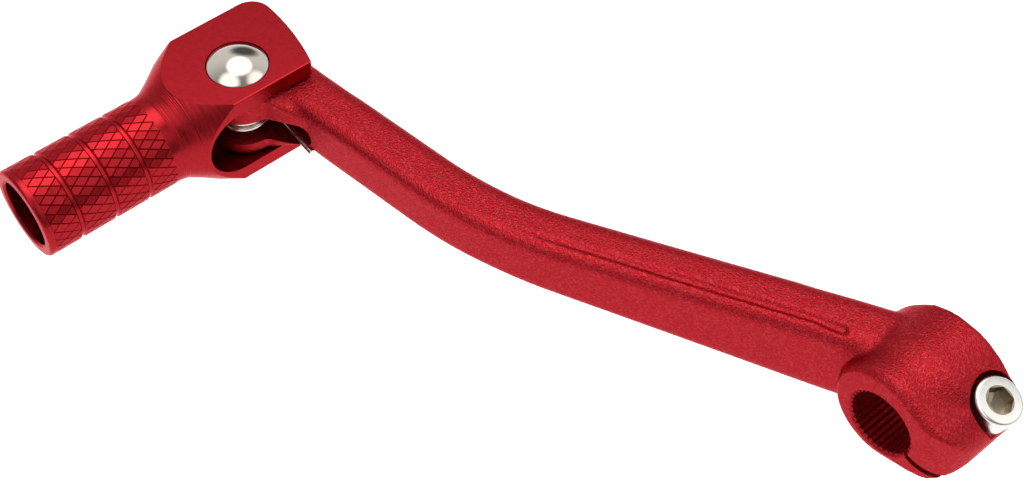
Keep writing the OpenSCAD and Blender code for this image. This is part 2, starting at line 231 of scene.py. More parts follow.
class StageSizes(bpy.types.PropertyGroup):
    """Camera, floor and lights"""

    camera_at: FloatVectorProperty(name="Camera", description="Where the camera stands",
                                   default=(-0.0759, 0.1788, 0.2691), subtype="TRANSLATION")
    camera_aim: FloatVectorProperty(name="Aim", description="Point that the camera looks at",
                                    default=(0.0775, 0.0358, 0.0), subtype="TRANSLATION")
    camera_roll: angle("Roll", "Turn of the camera about its own axis", 2.7)
    lens: FloatProperty(name="Lens", description="Focal length on a 36 mm wide sensor",
                        default=58.9, unit="CAMERA")
    floor_drop: length("Floor Drop", "Gap between the lever and the floor", 150)
    softbox_at: FloatVectorProperty(name="Softbox", description="Way towards the softbox",
                                    default=(0.189, -0.177, 0.966), subtype="DIRECTION")
    softbox: FloatProperty(name="Softbox Light", description="Brightness of the softbox",
                           default=2.7, min=0.0)
    wing: FloatProperty(name="Wing Light", description="Brightness of the outboard softbox",
                        default=1.35, min=0.0)
    kick: FloatProperty(name="Kick Light", description="Brightness of the lamp at the boss",
                        default=1.1, min=0.0)
    near_wall: FloatProperty(name="Near Wall", description="Brightness behind the camera",
                             default=0.30, min=0.0)
    far_wall: FloatProperty(name="Far Wall", description="Brightness facing the camera",
                            default=0.80, min=0.0)
    paper_light: FloatProperty(name="Paper Light", description="Extra light on the paper",
                               default=0.8, min=0.0)


def sizes():
    """The lever's property groups."""
    return bpy.context.scene.shift_lever


# ---- modelling helpers -------------------------------------------------------------------

def only(obj):
    """Makes one object the whole selection."""
    if bpy.context.mode != "OBJECT":
        bpy.ops.object.mode_set(mode="OBJECT")
    bpy.ops.object.select_all(action="DESELECT")
    obj.select_set(True)
    bpy.context.view_layer.objects.active = obj


def fix(obj):
    """Applies an object's place, turn and scale to its mesh."""
    only(obj)
    bpy.ops.object.transform_apply(location=True, rotation=True, scale=True)
    return obj


def edit(obj, kind="FACE"):
    """Opens a mesh in edit mode with all of it selected."""
    only(obj)
    bpy.ops.object.mode_set(mode="EDIT")
    bpy.ops.mesh.select_mode(type=kind)
    bpy.ops.mesh.select_all(action="SELECT")


def done():
    """Leaves edit mode."""
    bpy.ops.object.mode_set(mode="OBJECT")


def pick(kind, test):
    """Selects what passes a test among the faces, edges or vertices in edit mode."""
    bpy.ops.mesh.select_mode(type=kind)
    bpy.ops.mesh.select_all(action="DESELECT")
    mesh = bmesh.from_edit_mesh(bpy.context.edit_object.data)
    chosen = {"FACE": mesh.faces, "EDGE": mesh.edges, "VERT": mesh.verts}[kind]
    for item in chosen:
        if test(item):
            item.select_set(True)
    mesh.select_flush_mode()
    bmesh.update_edit_mesh(bpy.context.edit_object.data)


def clean(obj, gap=0.002 * MM):
    """Welds doubled points and turns all faces outwards."""
    edit(obj, "VERT")
    bpy.ops.mesh.remove_doubles(threshold=gap)
    bpy.ops.mesh.normals_make_consistent(inside=False)
    done()
    return obj


def modify(obj, kind, **settings):
    """Adds a modifier and applies it."""
    only(obj)
    modifier = obj.modifiers.new(kind, kind)
    for name, value in settings.items():
        setattr(modifier, name, value)
    bpy.ops.object.modifier_apply(modifier=modifier.name)
    return obj


def boolean(obj, operation, *tools):
    """Cuts, joins or intersects an object with tools, which are used up."""
    for tool in tools:
        modify(obj, "BOOLEAN", operation=operation, object=tool, solver="MANIFOLD")
        bpy.data.objects.remove(tool)
        if not obj.data.polygons:
            raise RuntimeError(f"{operation} left nothing of {obj.name}")
    return obj


def joined(first, *rest):
    """Puts several objects in one mesh."""
    only(first)
    for obj in rest:
        obj.select_set(True)
    if rest:
        bpy.ops.object.join()
    return first


def hulled(*objects):
    """Convex skin round several objects."""
    obj = joined(*objects)
    edit(obj, "VERT")
    bpy.ops.mesh.convex_hull()
    done()
    return obj


def cone(low, high, radius, radius_high=None, segments=96):
    """Round solid between two points."""
    low, high = Vector(low), Vector(high)
    axis = high - low
    bpy.ops.mesh.primitive_cone_add(
        vertices=segments, depth=axis.length, location=(low + high) / 2,
        radius1=radius, radius2=radius if radius_high is None else radius_high,
        rotation=axis.to_track_quat("Z", "Y").to_euler())
    return fix(bpy.context.object)


def block(low, high):
    """Box between two corners."""
    low, high = Vector(low), Vector(high)
    bpy.ops.mesh.primitive_cube_add(size=1, location=(low + high) / 2, scale=high - low)
    return fix(bpy.context.object)


def turned(outline, at, axis=UP, steps=128):
    """Solid spun from an outline of (radius, height) points, stood at a point along an axis."""
    bpy.ops.mesh.primitive_plane_add(size=MM)
    obj = bpy.context.object
    edit(obj, "VERT")
    bpy.ops.mesh.merge(type="CENTER")
    place = Vector()
    for index, (radius, height) in enumerate(outline):
        move = Vector((radius, 0, height)) - place
        if index:
            bpy.ops.mesh.extrude_region_move(TRANSFORM_OT_translate={"value": move})
        else:
            bpy.ops.transform.translate(value=move)
        place += move
    bpy.ops.mesh.select_all(action="SELECT")
    bpy.ops.mesh.spin(steps=steps, angle=math.tau, center=(0, 0, 0), axis=(0, 0, 1))
    done()
    clean(obj)
    obj.rotation_euler = axis.to_track_quat("Z", "Y").to_euler()
    obj.location = at
    return fix(obj)


def swept(stations, corners, segments=6):
    """Bar drawn from station to station: (centre, heading, width, height) each.

    corners are the roundings of its left top, right top, right bottom and left bottom edges.
    """
    centre, heading, width, height = stations[0]
    bpy.ops.mesh.primitive_plane_add(size=1, location=centre,
                                     rotation=(math.pi / 2, 0, heading + math.pi / 2))
    obj = bpy.context.object
    obj.scale = (width, height, 1)
    fix(obj)
    left = Vector((-math.sin(heading), math.cos(heading), 0))
    edit(obj, "VERT")
    for rounding, (side, rise) in zip(corners, ((1, 1), (-1, 1), (-1, -1), (1, -1))):
        corner = centre + left * side * width / 2 + UP * rise * height / 2
        pick("VERT", lambda v: (v.co - corner).length < 0.05 * MM)
        bpy.ops.mesh.bevel(offset=rounding, affect="VERTICES", segments=segments)
    bpy.ops.mesh.select_mode(type="FACE")
    bpy.ops.mesh.select_all(action="SELECT")
    for before, after in zip(stations, stations[1:]):
        bpy.ops.mesh.extrude_region_move(
            TRANSFORM_OT_translate={"value": after[0] - before[0]})
        bpy.ops.transform.rotate(value=before[1] - after[1], orient_axis="Z",
                                 center_override=after[0])
        widen, heighten = after[2] / before[2], after[3] / before[3]
        bpy.ops.transform.resize(value=(widen, widen, heighten), center_override=after[0])
    done()
    return clean(obj)


def melted(obj, cell, passes):
    """One skin round overlapping solids, with its creases and edges eased."""
    modify(obj, "REMESH", mode="VOXEL", voxel_size=cell, adaptivity=0.0)
    return modify(obj, "SMOOTH", factor=0.5, iterations=passes)


def finished(obj, name, skin, node, body, crease=32):
    """Names a finished piece, shades it, and ties it to its node and body."""
    clean(obj)
    obj.name = obj.data.name = name
    only(obj)
    bpy.ops.object.shade_smooth_by_angle(angle=math.radians(crease))
    modify(obj, "WEIGHTED_NORMAL", weight=80, keep_sharp=True)
    obj.data.materials.clear()
    obj.data.materials.append(skin)
    if body:
        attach(obj, body)
    for each in node if isinstance(node, tuple) else (node,):
        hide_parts(each)
    return obj


# ---- shader helpers ----------------------------------------------------------------------

class Value:
    """A shader socket that adds up like a number."""

    def __init__(self, shader, socket):
        self.shader = shader
        self.socket = socket

    def _maths(self, operation, first, second):
        return self.shader.node("ShaderNodeMath", {"operation": operation},
                                {0: first, 1: second})

    def __add__(self, other):
        return self._maths("ADD", self, other)

    def __sub__(self, other):
        return self._maths("SUBTRACT", self, other)

    def __rsub__(self, other):
        return self._maths("SUBTRACT", other, self)

    def __mul__(self, other):
        return self._maths("MULTIPLY", self, other)

    def __gt__(self, other):
        return self._maths("GREATER_THAN", self, other)

    def __lt__(self, other):
        return self._maths("LESS_THAN", self, other)

    __radd__ = __add__
    __rmul__ = __mul__


class Shader:
    """Node tree of a material or of the world."""

    def __init__(self, owner, place="Object"):
        self.owner = owner
        self.owner.use_nodes = True
        self.tree = self.owner.node_tree
        self.tree.nodes.clear()
        self.place = self.node("ShaderNodeTexCoord", out=place)

    def node(self, kind, settings=None, inputs=None, out=0):
        """Adds a node: its settings first, then its sockets' values or links."""
        node = self.tree.nodes.new(kind)
        for name, value in (settings or {}).items():
            if name == "stops":
                ramp = node.color_ramp
                while len(ramp.elements) < len(value):
                    ramp.elements.new(0.5)
                for element, (position, colour) in zip(ramp.elements, value):
                    element.position = position
                    element.color = (*colour, 1.0)
            else:
                setattr(node, name, value)
        for name, value in (inputs or {}).items():
            if isinstance(value, Value):
                self.tree.links.new(value.socket, node.inputs[name])
            else:
                node.inputs[name].default_value = value
        return Value(self, node.outputs[out]) if node.outputs else node

    def noise(self, scale, detail=2.0, stretch=(1, 1, 1)):
        """Noise in object space; scale is in cells a metre."""
        place = self.node("ShaderNodeMapping", {}, {"Vector": self.place, "Scale": stretch})
        return self.node("ShaderNodeTexNoise", {},
                         {"Vector": place, "Scale": scale, "Detail": detail}, "Fac")

    def cells(self, scale, out="Color"):
        """Random cells in object space."""
        return self.node("ShaderNodeTexVoronoi", {}, {"Vector": self.place, "Scale": scale},
                         out)

    def apart(self, vector, index, middle):
        """Distance of one component of a vector from a middle value."""
        return self.node("ShaderNodeMath", {"operation": "ABSOLUTE"},
                         {0: self.part(vector, index) - middle})

    def part(self, vector, index):
        """One component of a vector."""
        return self.node("ShaderNodeSeparateXYZ", {}, {"Vector": vector}, index)

    def ramp(self, value, *stops):
        """Smooth step of a value through (position, level) stops."""
        return self.node("ShaderNodeValToRGB",
                         {"stops": [(at, (level,) * 3) for at, level in stops]},
                         {"Fac": value})

    def blend(self, factor, first, second):
        """Mix of two colours."""
        return self.node("ShaderNodeMix", {"data_type": "RGBA"},
                         {0: factor, 6: first, 7: second}, 2)

    def bump(self, height, strength, distance, under=None):
        """Normal bent by a height."""
        inputs = {"Height": height, "Strength": strength, "Distance": distance}
        if under:
            inputs["Normal"] = under
        return self.node("ShaderNodeBump", {}, inputs, "Normal")

    def surface(self, **inputs):
        """Principled surface; names take _ for a space."""
        named = {name.replace("_", " "): value for name, value in inputs.items()}
        bsdf = self.node("ShaderNodeBsdfPrincipled", {}, named)
        self.node("ShaderNodeOutputMaterial", {}, {"Surface": bsdf})
        return self.owner

    def lobe(self, way, start, stop, outside, inside):
        """Level that runs smoothly from outside to inside as directions near a given way."""
        near = self.node("ShaderNodeVectorMath", {"operation": "DOT_PRODUCT"},
                         {0: self.place, 1: Vector(way).normalized()}, "Value")
        return self.node("ShaderNodeMapRange", {"interpolation_type": "SMOOTHSTEP"},
                         {"Value": near, "From Min": start, "From Max": stop,
                          "To Min": outside, "To Max": inside})


def finish(name):
    """Shader of a new material."""
    return Shader(bpy.data.materials.new(name))


def rgba(colour, gain=1.0):
    """Linear colour, brightened by a gain."""
    return tuple(min(1.0, part * gain) for part in colour) + (1.0,)


# ---- finishes ----------------------------------------------------------------------------

def blasted_red(colour):
    """Bead blasted forging under a clear red anodised skin."""
    shader = finish("blasted_red")
    grain = shader.cells(2600)
    dimples = shader.cells(2600, "Distance")
    fine = shader.noise(5200, 2.0)
    broad = shader.noise(90, 2.0)
    glint = shader.ramp(shader.part(grain, 0), (0.55, 0.0), (1.0, 1.0))
    base = shader.blend(glint * 0.35, rgba(colour, 0.96),
                        (min(1.0, colour[0] * 1.35), colour[1] * 5, colour[2] * 4, 1.0))
    normal = shader.bump(dimples * 0.7 + fine * 0.6, 0.7, 0.2 * MM)
    return shader.surface(
        Base_Color=base, Metallic=1.0, Normal=normal,
        Roughness=shader.part(grain, 1) * 0.14 + broad * 0.05 + 0.27,
        Specular_Tint=EDGE_RED, Coat_Weight=0.03, Coat_Roughness=0.3)


def turned_red(colour, axis_x, axis_z, start, stop):
    """Turned and milled bar under a clear red anodised skin; lathe rings on the cone."""
    shader = finish("turned_red")
    fine = shader.noise(6500, 2.0)
    mottle = shader.noise(900, 3.0)
    along = shader.part(shader.place, 1)
    aside = shader.apart(shader.place, 0, axis_x)
    rise = shader.apart(shader.place, 2, axis_z)
    lathe = shader.node("ShaderNodeTexNoise", {"noise_dimensions": "1D"},
                        {"W": along, "Scale": 3300, "Detail": 2.0}, "Fac")
    on_cone = (along > start) * (along < stop) * (rise < 11.8 * MM) * (aside < 11.9 * MM)
    normal = shader.bump(fine, 0.16, 0.06 * MM)
    normal = shader.bump(lathe * on_cone, 0.9, 0.16 * MM, normal)
    base = shader.blend(shader.ramp(mottle, (0.3, 0.0), (0.75, 1.0)) * 0.5,
                        rgba(colour, 0.86), rgba(colour, 1.12))
    return shader.surface(
        Base_Color=base, Metallic=1.0, Normal=normal,
        Roughness=fine * 0.08 + mottle * 0.05 + 0.22,
        Specular_Tint=EDGE_RED, Coat_Weight=0.05, Coat_Roughness=0.18)


def polished_steel(colour):
    """Mirror polished pin with the faintest wipe marks."""
    shader = finish("polished_steel")
    wipe = shader.noise(260, 3.0, (1, 6, 1))
    fine = shader.noise(4000, 2.0)
    return shader.surface(
        Base_Color=shader.blend(wipe * 0.3, rgba(colour), rgba(colour, 0.9)),
        Metallic=1.0, Roughness=wipe * 0.05 + 0.05,
        Normal=shader.bump(fine, 0.03, 0.05 * MM))


def drawn_wire(colour):
    """Bright drawn spring wire."""
    shader = finish("drawn_wire")
    streak = shader.noise(1500, 3.0)
    return shader.surface(
        Base_Color=shader.blend(streak, rgba(colour, 0.75), rgba(colour, 1.1)),
        Metallic=1.0, Roughness=streak * 0.16 + 0.16,
        Normal=shader.bump(streak, 0.12, 0.05 * MM))


def zinc_plate(colour, seat=None, along=None, socket=0.0):
    """Bright zinc plate; a bolt's seat, axis and socket radius mark its socket, whose inside gets
    painted shade.
    """
    shader = finish("zinc_plate")
    cloud = shader.noise(700, 3.0)
    fine = shader.noise(5000, 2.0)
    base = shader.blend(cloud, rgba(colour, 0.86), rgba(colour, 1.05))
    if socket:
        from_seat = shader.node("ShaderNodeVectorMath", {"operation": "SUBTRACT"},
                                {0: shader.place, 1: seat}, "Vector")
        aside = shader.node("ShaderNodeVectorMath", {"operation": "CROSS_PRODUCT"},
                            {0: from_seat, 1: along}, "Vector")
        off_axis = shader.node("ShaderNodeVectorMath", {"operation": "LENGTH"}, {0: aside},
                               "Value")
        # Painted shade: inside the socket radius the zinc colour turns dark brown.
        base = shader.blend(off_axis < socket, base, SOCKET_SHADE)
    return shader.surface(
        Base_Color=base,
        Metallic=1.0, Roughness=cloud * 0.14 + 0.18,
        Normal=shader.bump(fine, 0.08, 0.05 * MM))


def pale_floor(colour):
    """Matt paper sweep."""
    shader = finish("pale_floor")
    tooth = shader.noise(700, 2.0)
    return shader.surface(
        Base_Color=shader.blend(tooth * 0.3, rgba(colour), rgba(colour, 0.985)),
        Roughness=0.9, Normal=shader.bump(tooth, 0.02, 0.1 * MM))


# ---- places shared by several pieces -----------------------------------------------------

def bolt_axis(small):
    """Point where the bolt crosses the saw slot, and its direction towards the head."""
    turn = Matrix.Rotation(-small.bolt_tilt, 3, "Y")
    off = BORE["r_mm"] * MM + small.bolt_radius + 0.1 * MM
    middle = Vector((-off, -sizes().forging.collar_step / 2, 0))
    return turn @ middle, turn @ UP


def pocket(small):
    """Level of the spring pocket's floor, its height, and the coil's radius and pitch."""
    eye = sizes().forging.height_tip + 0.8 * MM
    pitch = small.wire + 0.4 * MM
    turns = small.coils + 0.375
    floor = PIVOT.z - eye / 2 + small.pocket_floor
    height = pitch * turns + small.wire + 0.75 * MM
    return floor, height, small.pin_radius + small.coil_gap + small.wire / 2, pitch, turns


# ---- pieces ------------------------------------------------------------------------------

def centre_line(forging):
    """Stations of the arm: centre, heading, width and height, from the boss to the eye."""
    root = Vector((0, -forging.root_in))
    bend = Vector((PIVOT.x - forging.bend_back, PIVOT.y - forging.bend_in))
    end = Vector((PIVOT.x - forging.end_back, PIVOT.y - forging.end_in))
    first = (bend - root).normalized()
    last = (end - bend).normalized()
    head_first = math.atan2(first.y, first.x)
    head_last = math.atan2(last.y, last.x)
    turn = head_first - head_last
    tangent = forging.bend_radius * math.tan(turn / 2)
    hub = bend - first * tangent + Vector((first.y, -first.x)) * forging.bend_radius
    places = [(root + first * run, head_first)
              for run in linear(6 * MM, (bend - root).length - tangent, 12)]
    for step in range(1, 13):
        heading = head_first - turn * step / 12
        rim = Vector((-math.sin(heading), math.cos(heading))) * forging.bend_radius
        places.append((hub + rim, heading))
    places += [(bend + last * run, head_last)
               for run in linear(tangent, (end - bend).length, 4)[1:]]
    stations = []
    for point, heading in places:
        slim_x = bend.x - 4 * MM
        share = clamped((slim_x - point.x) / (slim_x - forging.lug_radius + MM))
        width = forging.width_tip + (forging.width_boss - forging.width_tip) * share
        rise = (forging.height_boss - forging.height_tip) * share ** 1.15
        stations.append((Vector((point.x, point.y, PIVOT.z)), heading, width,
                         forging.height_tip + rise))
    return stations


def clamped(share):
    """Share held between 0 and 1."""
    return min(1.0, max(0.0, share))


def linear(start, stop, count):
    """Evenly spaced values, both ends included."""
    return [start + (stop - start) * step / (count - 1) for step in range(count)]


def crest_groove(forging, stations):
    """Tool for the groove behind the outboard crest: it deepens and turns out at the boss."""
    cuts = []
    chosen = [station for station in stations
              if forging.groove_start < station[0].x < forging.groove_stop]
    for index, (centre, heading, width, height) in enumerate(chosen):
        share = 1 - index / (len(chosen) - 1)
        turn_out = clamped((centre.x - forging.groove_start) / forging.groove_turn)
        depth = forging.groove_depth * (min(1.0, share * 1.5) + 0.9 * (1 - turn_out))
        left = Vector((-math.sin(heading), math.cos(heading), 0))
        top = centre + left * (width / 2 - forging.groove_in * turn_out ** 0.5)
        top += UP * (height / 2 - depth - 0.05 * MM)
        radius = forging.groove_radius * (1 + 0.8 * (1 - turn_out))
        cuts.append((top + UP * radius, heading, 2 * radius, 2 * radius))
    round_off = 0.48 * cuts[0][2]
    return swept(cuts, (round_off,) * 4, 4)


def boss_blank(forging):
    """Rough clamp boss: bolt lug, collar and nose."""
    half = BORE["length_mm"] * MM / 2
    nose = forging.lug_radius + 1.2 * MM
    drop = Vector((0, 0, -forging.lug_drop))
    lift = Vector((0.9 * MM, 0, forging.collar_lift))
    lug = cone(drop + OUTBOARD * -half, drop, forging.lug_radius)
    shoulder = hulled(
        cone(drop - OUTBOARD * MM, drop, forging.lug_radius),
        cone(lift + OUTBOARD * (half - 3.2 * MM), lift + OUTBOARD * (half - 3 * MM),
             forging.collar_radius - 0.4 * MM))
    boolean(lug, "UNION", shoulder)
    boolean(lug, "DIFFERENCE", block((-1, -1, -1), (1, 1, -forging.lug_low)))
    jaw = Vector((forging.jaw_radius - nose, 0, 0.8 * MM))
    edge = half - forging.collar_rim
    discs = []
    for middle, radius in ((lift, forging.collar_radius), (jaw, forging.jaw_radius)):
        discs += [cone(middle + OUTBOARD * -half, middle + OUTBOARD * edge, radius),
                  cone(middle + OUTBOARD * edge, middle + OUTBOARD * half, radius,
                       radius - 0.8 * forging.collar_rim)]
    collar = hulled(*discs)
    boolean(collar, "UNION", lug)
    corner = Vector((forging.nose_radius - nose, half - forging.nose_radius, 0))
    plan = block(corner - Vector((0.1, 0, 0.1)), corner + Vector((0, 0.1, 0.1)))
    boolean(plan, "DIFFERENCE", cone(corner - UP * 0.11, corner + UP * 0.11,
                                     forging.nose_radius))
    return boolean(collar, "DIFFERENCE", plan)


def eye_blank(forging):
    """Rough eye at the arm's end, with the web that leads back into the arm."""
    eye = forging.height_tip + 0.8 * MM
    low, high = UP * -eye / 2, UP * eye / 2
    end = PIVOT + Vector((-forging.end_back, -forging.end_in, 0))
    head = hulled(cone(PIVOT + low, PIVOT + high, forging.eye_radius),
                  cone(end + low, end + high, forging.width_tip / 2))
    web_a = PIVOT + Vector((-5, -1.5, 0)) * MM
    web_b = PIVOT + Vector((-15, -5.6, 0)) * MM
    slimmer = 0.55  # keeps the web clear of the slot's round floor when the tip is folded
    web = hulled(cone(web_a + low, web_a + high, 3 * MM),
                 cone(web_b + low * slimmer, web_b + high * slimmer, 0.8 * MM))
    return joined(head, web)


def heel(forging):
    """Heel that stops the tip in the round floor of its slot."""
    tip = sizes().tip
    radius = tip.slot_height / 2 - 0.75 * MM
    run = tip.slot_floor - tip.slot_height / 2 + 0.6 * MM
    start = PIVOT + Vector((MM, 0, 0))
    end = start + Vector((6 * MM, 0, 0))
    body = hulled(cone(start + OUTBOARD * run, end + OUTBOARD * run, radius),
                  block(start - UP * radius, end + OUTBOARD * run * 0.9 + UP * radius))
    eye = forging.height_tip / 2 + 0.4 * MM
    return boolean(body, "INTERSECT",
                   block(PIVOT - Vector((0, 0, eye)), PIVOT + Vector((0.02, 0.03, eye))))


def splines(forging):
    """Toothed tool for the bore."""
    half = BORE["length_mm"] * MM / 2 + MM
    radius = BORE["r_mm"] * MM
    bpy.ops.mesh.primitive_cylinder_add(
        vertices=4 * forging.teeth, radius=radius, depth=2 * half,
        rotation=(math.pi / 2, 0, 0))
    tool = fix(bpy.context.object)
    edit(tool, "VERT")
    step = math.tau / forging.teeth
    turn = step / 8
    pick("VERT", lambda v: (math.atan2(v.co.z, v.co.x) + turn) % step < step / 4)
    grow = (radius + forging.tooth_depth) / radius
    bpy.ops.transform.resize(value=(grow, 1, grow), center_override=(0, 0, 0))
    done()
    return tool


def boss_tools(forging, small):
    """Tools that machine the boss: bore, its chamfers, saw slot, bolt hole and counterbore."""
    half = BORE["length_mm"] * MM / 2
    radius = BORE["r_mm"] * MM + forging.tooth_depth
    lip = 0.5 * MM
    seat, along = bolt_axis(small)
    slot = block((-0.05, -0.05, -forging.slot / 2), (0, 0.05, forging.slot / 2))
    slot.rotation_euler.y = -small.bolt_tilt
    fix(slot)
    head = seat + along * small.bolt_seat
    hole = small.bolt_radius + 0.3 * MM
    return [
        splines(forging),
        cone(OUTBOARD * (half - lip), OUTBOARD * (half + lip), radius - 0.3 * MM,
             radius + 2 * lip - 0.3 * MM),
        cone(OUTBOARD * (lip - half), OUTBOARD * (-half - lip), radius - 0.3 * MM,
             radius + 2 * lip - 0.3 * MM),
        slot,
        cone(seat, head, hole),
        cone(seat - along * 0.03, seat + along * MM, small.bolt_radius + small.pin_play),
        cone(head, head + along * 0.03, small.head_radius + 0.9 * MM),
    ]


def eye_tools(forging, small):
    """Tools that machine the eye: pin bore, spring pocket and the groove for the leg."""
    floor, height, coil, _, _ = pocket(small)
    base = Vector((PIVOT.x, PIVOT.y, floor))
    wall = coil + small.wire / 2
    rise = UP * height
    round_end = base + Vector((-14 * MM, 0, height / 2))
    leg_end, leg_root = spring_leg(small)
    past = leg_end + (leg_end - leg_root) / 4
    return [
        cone(PIVOT - UP * 0.02, PIVOT + UP * 0.02, small.pin_radius + small.pin_play),
        cone(base, base + rise, wall + 0.4 * MM),
        block(base + Vector((-9.2, 0, 0)) * MM, base + Vector((6, 9.2, 0)) * MM + rise),
        block(base - Vector((14 * MM, wall + 0.5 * MM, 0)), base + OUTBOARD * MM + rise),
        cone(round_end + OUTBOARD * MM, round_end - OUTBOARD * (wall + 0.5 * MM),
             height / 2),
        cone(leg_root, past, small.wire / 2 + 0.15 * MM, segments=32),
    ]


def spring_leg(small):
    """Outer end and inner end of the spring leg that lies on the arm."""
    floor, _, coil, _, _ = pocket(small)
    low = floor + small.wire / 2 + 0.375 * MM
    outer = Vector((PIVOT.x - 17.3 * MM, PIVOT.y - 5.3 * MM, floor - 0.5 * MM))
    return outer, Vector((PIVOT.x - 4 * MM, PIVOT.y - coil, low - 0.1 * MM))


class SHIFT_OT_forging(bpy.types.Operator):
    """Forge the arm with its boss and eye, then machine its bores, slot and pocket"""

    bl_idname = "shift.forging"
    bl_label = "Lever Forging"

    def execute(self, context):
        forging, small = sizes().forging, sizes().small
        stations = centre_line(forging)
        arm = swept(stations, (forging.round_crest, forging.round_shoulder,
                               forging.round_belly, forging.round_belly))
        joined(arm, boss_blank(forging), eye_blank(forging))
        melted(arm, forging.voxel, 4)
        self.ease(arm, "boss_root", *BOSS_ROOT, forging.boss_ease)
        self.ease(arm, "eye_root", *EYE_ROOT, forging.eye_ease)
        hollow = Vector((12.5, 8.2, 9.6)) * MM  # dip between the crest's end and the collar
        boolean(arm, "DIFFERENCE", crest_groove(forging, stations),
                cone(hollow - OUTBOARD * 2 * MM, hollow + OUTBOARD * 4 * MM, 1.2 * MM,
                     3.4 * MM))
        melted(arm, forging.voxel, 4)
        boolean(arm, "UNION", heel(forging))
        boolean(arm, "DIFFERENCE", *boss_tools(forging, small))
        boolean(arm, "DIFFERENCE", *eye_tools(forging, small))
        finished(arm, "forged_arm", blasted_red(sizes().finishes.forging),
                 ("lever_arm", "clamp_boss"), "arm")
        return {"FINISHED"}

    def ease(self, arm, name, start, stop, outboard, passes):
        """Rounds the creases where the bar runs into the boss or the eye."""
        group = arm.vertex_groups.new(name=name)
        for vertex in arm.data.vertices:
            x, y, _ = vertex.co
            inside = min(x - start, stop - x, outboard - y) / (3 * MM)
            if inside > 0:
                group.add([vertex.index], min(1.0, inside), "REPLACE")
        modify(arm, "SMOOTH", factor=0.5, iterations=passes, vertex_group=name)


def knurled_rod(tip, low, high):
    """Rod along Z whose skin is flat topped diamonds between crossing grooves."""
    across = math.tau * tip.peg_radius / tip.knurl_count
    along = across / math.tan(tip.knurl_angle)
    bpy.ops.mesh.primitive_circle_add(vertices=4, radius=0.5, fill_type="NGON")
    rod = bpy.context.object
    rod.scale = (across, along, 1)
    fix(rod)
    edit(rod)
    bpy.ops.mesh.inset(thickness=tip.knurl_groove, use_even_offset=True)
    bpy.ops.transform.translate(value=(0, 0, tip.knurl_depth))
    done()
    rows = math.ceil((high - low) / along) + 2
    for shift, count in (((across / 2, along / 2, 0), 2), ((across, 0, 0), tip.knurl_count),
                         ((0, along, 0), rows)):
        modify(rod, "ARRAY", count=count, use_relative_offset=False,
               use_constant_offset=True, constant_offset_displace=shift)
    for vertex in rod.data.vertices:
        turn = vertex.co.x / tip.peg_radius
        radius = tip.peg_radius - tip.knurl_depth + vertex.co.z
        height = low - along + vertex.co.y
        vertex.co = (radius * math.cos(turn), radius * math.sin(turn), height)
    clean(rod, 0.01 * MM)
    for level, side in ((low, -1), (high, 1)):
        edit(rod)
        bpy.ops.mesh.bisect(plane_co=(0, 0, level), plane_no=(0, 0, side), use_fill=True,
                            clear_outer=True)
        done()
    return clean(rod)


def tip_outline(tip, start, reach, inboard):
    """Turned outline of the tip, less the knurl: radius against distance from the pivot."""
    core = tip.peg_radius - tip.knurl_depth - 0.25 * MM
    edge = tip.peg_radius
    rim = tip.rim
    bead = [(edge - 0.7 * MM * (1 - math.sin(turn)), reach - 0.7 * MM * (1 - math.cos(turn)))
            for turn in linear(0, math.pi / 2, 6)]
    cone_line = [(edge, start), (edge + 0.25 * MM, start - 1.6 * MM),
                 (edge + 1.9 * MM, start - 4.5 * MM), (edge + 4.2 * MM, start - 8 * MM),
                 (edge + 7.1 * MM, start - 13.5 * MM), (edge + 7.1 * MM, inboard)]
    return ([(0, reach)] + bead + [(edge, reach - rim), (core, reach - rim - 0.1 * MM),
            (core, start + tip.band), (edge - 0.15 * MM, start + tip.band)]
            + cone_line + [(0, inboard)])


